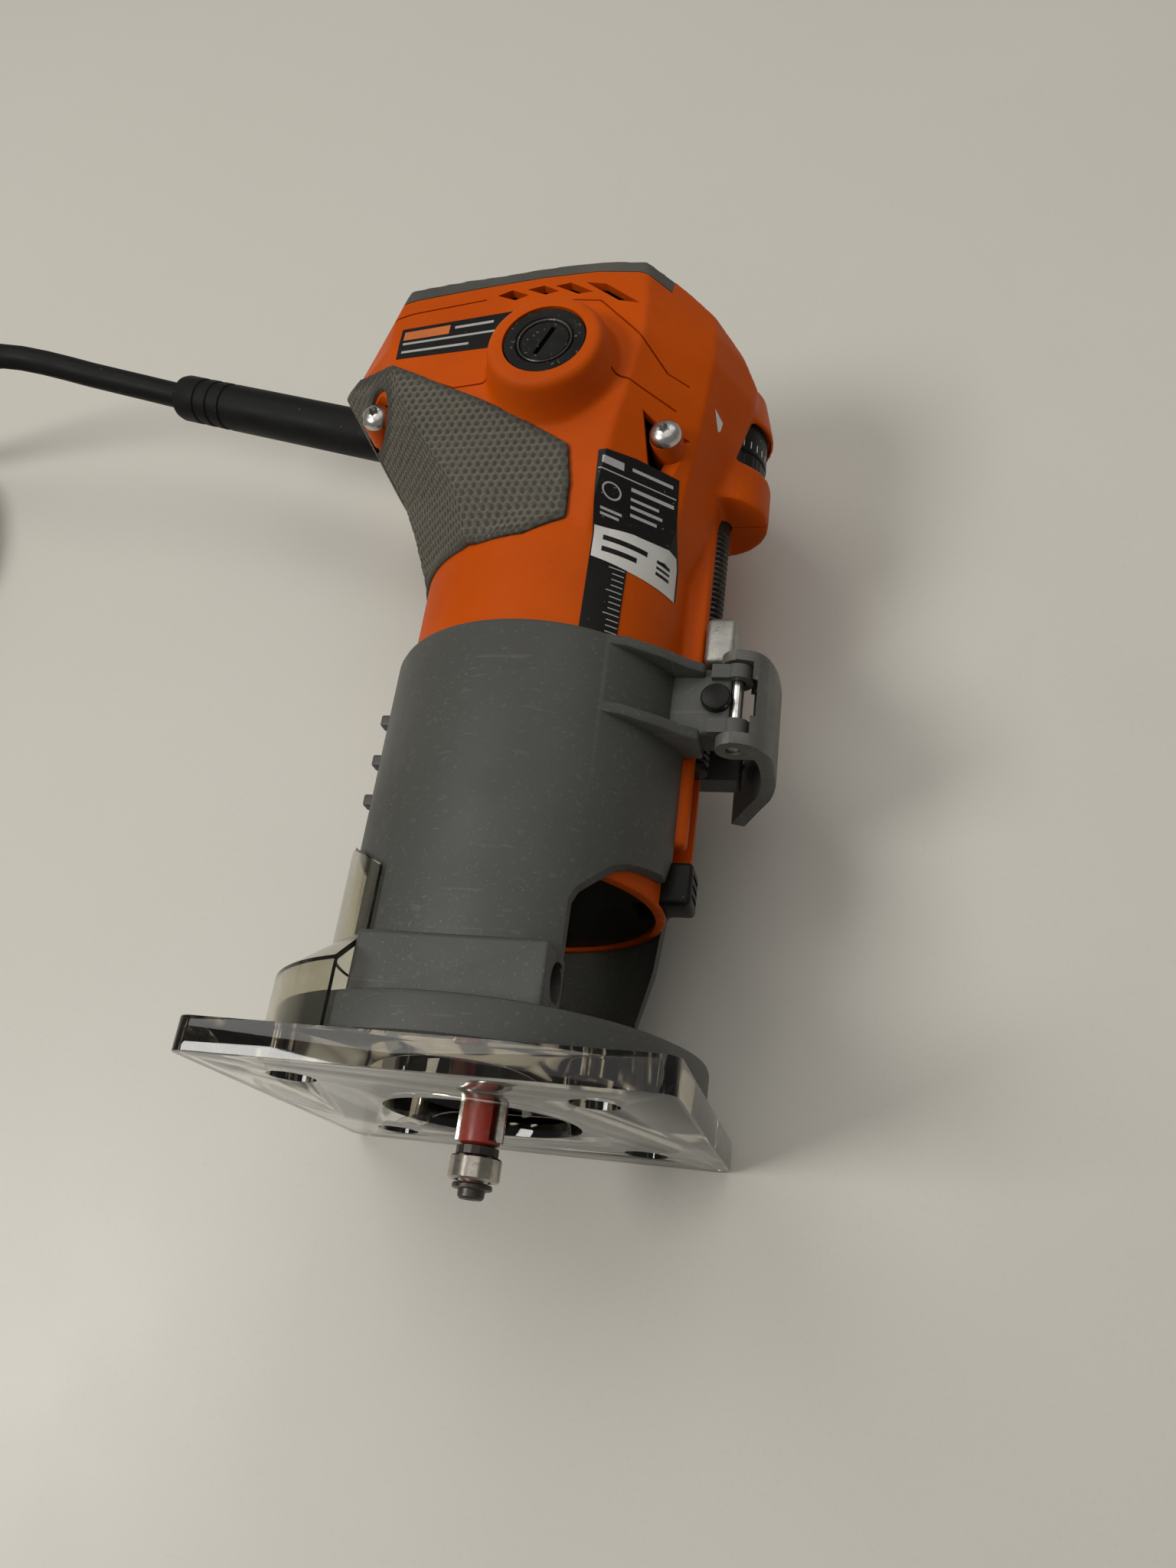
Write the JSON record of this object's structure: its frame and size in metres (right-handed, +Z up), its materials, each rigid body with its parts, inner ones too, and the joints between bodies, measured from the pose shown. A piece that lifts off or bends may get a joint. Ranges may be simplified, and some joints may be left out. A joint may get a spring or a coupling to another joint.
{
  "type": "trim router",
  "caption": "Corded trim router with a barrel motor, orange clamshell case, grey clamping base, square clear guide plate and a flush-trim bit, lying on its side.",
  "frame": {"origin": "middle of the guide plate's edge that the router rests on, at mid-thickness of the plate", "axes": "+Z up off the table; the spindle runs along Y at x = 0, 50 mm up, with the bit toward -Y and the head toward +Y; +X is the clamp side"},
  "size_m": [0.4289, 0.2539, 0.1],
  "materials": {
    "orange_plastic": "satin moulded nylon",
    "grip_rubber": "matt overmould with a fine mesh texture",
    "cap_rubber": "matt overmould",
    "black_plastic": "satin",
    "cord_rubber": "satin",
    "grey_casting": "dark grey satin coating, scuffed",
    "clear_acrylic": "clear, scratched",
    "clear_shield": "clear, yellowed",
    "bright_steel": "machined",
    "dark_steel": "black oxide",
    "laminated_steel": "laminated",
    "bearing_steel": "polished",
    "copper_wire": "varnished winding",
    "copper_bars": "turned",
    "plug_brass": "plated",
    "red_bit": "red coating over steel",
    "carbon": "matt",
    "circuit_board": "satin"
  },
  "bodies": {
    "motor": {"housing_front": "orange_plastic", "housing_rear": "orange_plastic", "grip_front": "grip_rubber", "grip_rear": "grip_rubber", "end_cap": "cap_rubber", "nose_cover": "black_plastic", "case_screw_1": "bright_steel", "case_screw_2": "bright_steel", "field_core": "laminated_steel", "field_coil_lower": "copper_wire", "field_coil_upper": "copper_wire", "bearing_lower": "bright_steel", "bearing_upper": "bright_steel", "brush_holder_front": "black_plastic", "brush_holder_rear": "black_plastic", "brush_front": "carbon", "brush_rear": "carbon", "brush_spring_front": "bright_steel", "brush_spring_rear": "bright_steel", "brush_cap_front": "black_plastic", "brush_cap_rear": "black_plastic", "switch_body": "black_plastic", "control_board": "circuit_board", "strain_relief": "cord_rubber", "power_cord": "cord_rubber", "cord_coil": "cord_rubber", "plug_body": "cord_rubber", "plug_blade_left": "plug_brass", "plug_blade_right": "plug_brass"},
    "spindle": {"spindle_shaft": "bright_steel", "armature_core": "laminated_steel", "armature_coil_lower": "copper_wire", "armature_coil_upper": "copper_wire", "commutator": "copper_bars", "cooling_fan": "black_plastic", "collet": "bright_steel", "collet_nut": "dark_steel", "bit_body": "red_bit", "bit_collar": "dark_steel", "bit_screw": "dark_steel"},
    "bit_bearing": {"bit_bearing": "bearing_steel"},
    "base": {"base_casting": "grey_casting", "guide_plate": "clear_acrylic", "plate_screw_1": "dark_steel", "plate_screw_2": "dark_steel", "plate_screw_3": "dark_steel", "plate_screw_4": "dark_steel", "chip_shield": "clear_shield", "clamp_bolt": "dark_steel", "clamp_nut": "bright_steel", "lever_pin": "bright_steel"},
    "clamp_lever": {"clamp_lever": "grey_casting"},
    "release_tab": {"release_tab": "bright_steel"},
    "adjuster": {"depth_dial": "black_plastic", "depth_rod": "dark_steel"},
    "lock_button": {"lock_button": "black_plastic"},
    "switch_rocker": {"switch_rocker": "black_plastic"},
    "speed_dial": {"speed_dial": "black_plastic"}
  },
  "joints": [
    {"name": "dial_turn", "type": "hinge", "parent": "motor", "child": "adjuster", "pos_m": [0.0392, 0.175, 0.05], "axis": [0, 1, 0], "range_deg": [-4320, 3600]},
    {"name": "depth_slide", "type": "slide", "parent": "motor", "child": "base", "axis": [0, 1, 0], "range_m": [-0.01915, 0.01597]},
    {"name": "spindle_spin", "type": "hinge", "parent": "motor", "child": "spindle", "pos_m": [0, 0.1, 0.05], "axis": [0, 1, 0], "continuous": true},
    {"name": "bit_bearing_spin", "type": "hinge", "parent": "spindle", "child": "bit_bearing", "pos_m": [0, -0.014, 0.05], "axis": [0, 1, 0], "continuous": true},
    {"name": "clamp_lever_swing", "type": "hinge", "parent": "base", "child": "clamp_lever", "pos_m": [0.05, 0.0933, 0.0645], "axis": [0, -1, 0], "range_deg": [0, 95]},
    {"name": "release_tab_press", "type": "slide", "parent": "base", "child": "release_tab", "axis": [1, 0, 0], "range_m": [0, 0.002], "stiffness_N_per_m": 600, "springref_m": -0.003},
    {"name": "lock_button_press", "type": "slide", "parent": "motor", "child": "lock_button", "axis": [-1, 0, 0], "range_m": [0, 0.003], "stiffness_N_per_m": 600, "springref_m": -0.003},
    {"name": "switch_rock", "type": "hinge", "parent": "motor", "child": "switch_rocker", "pos_m": [-0.02, 0.2066, 0.05], "axis": [0, 0, 1], "range_deg": [0, 14]},
    {"name": "speed_dial_turn", "type": "hinge", "parent": "motor", "child": "speed_dial", "pos_m": [0.01, 0.21, 0.05], "axis": [0, 1, 0], "range_deg": [0, 270]}
  ],
  "couplings": [
    {"joint": "depth_slide", "follows": "dial_turn", "m_per_rad": 0.00025266}
  ]
}
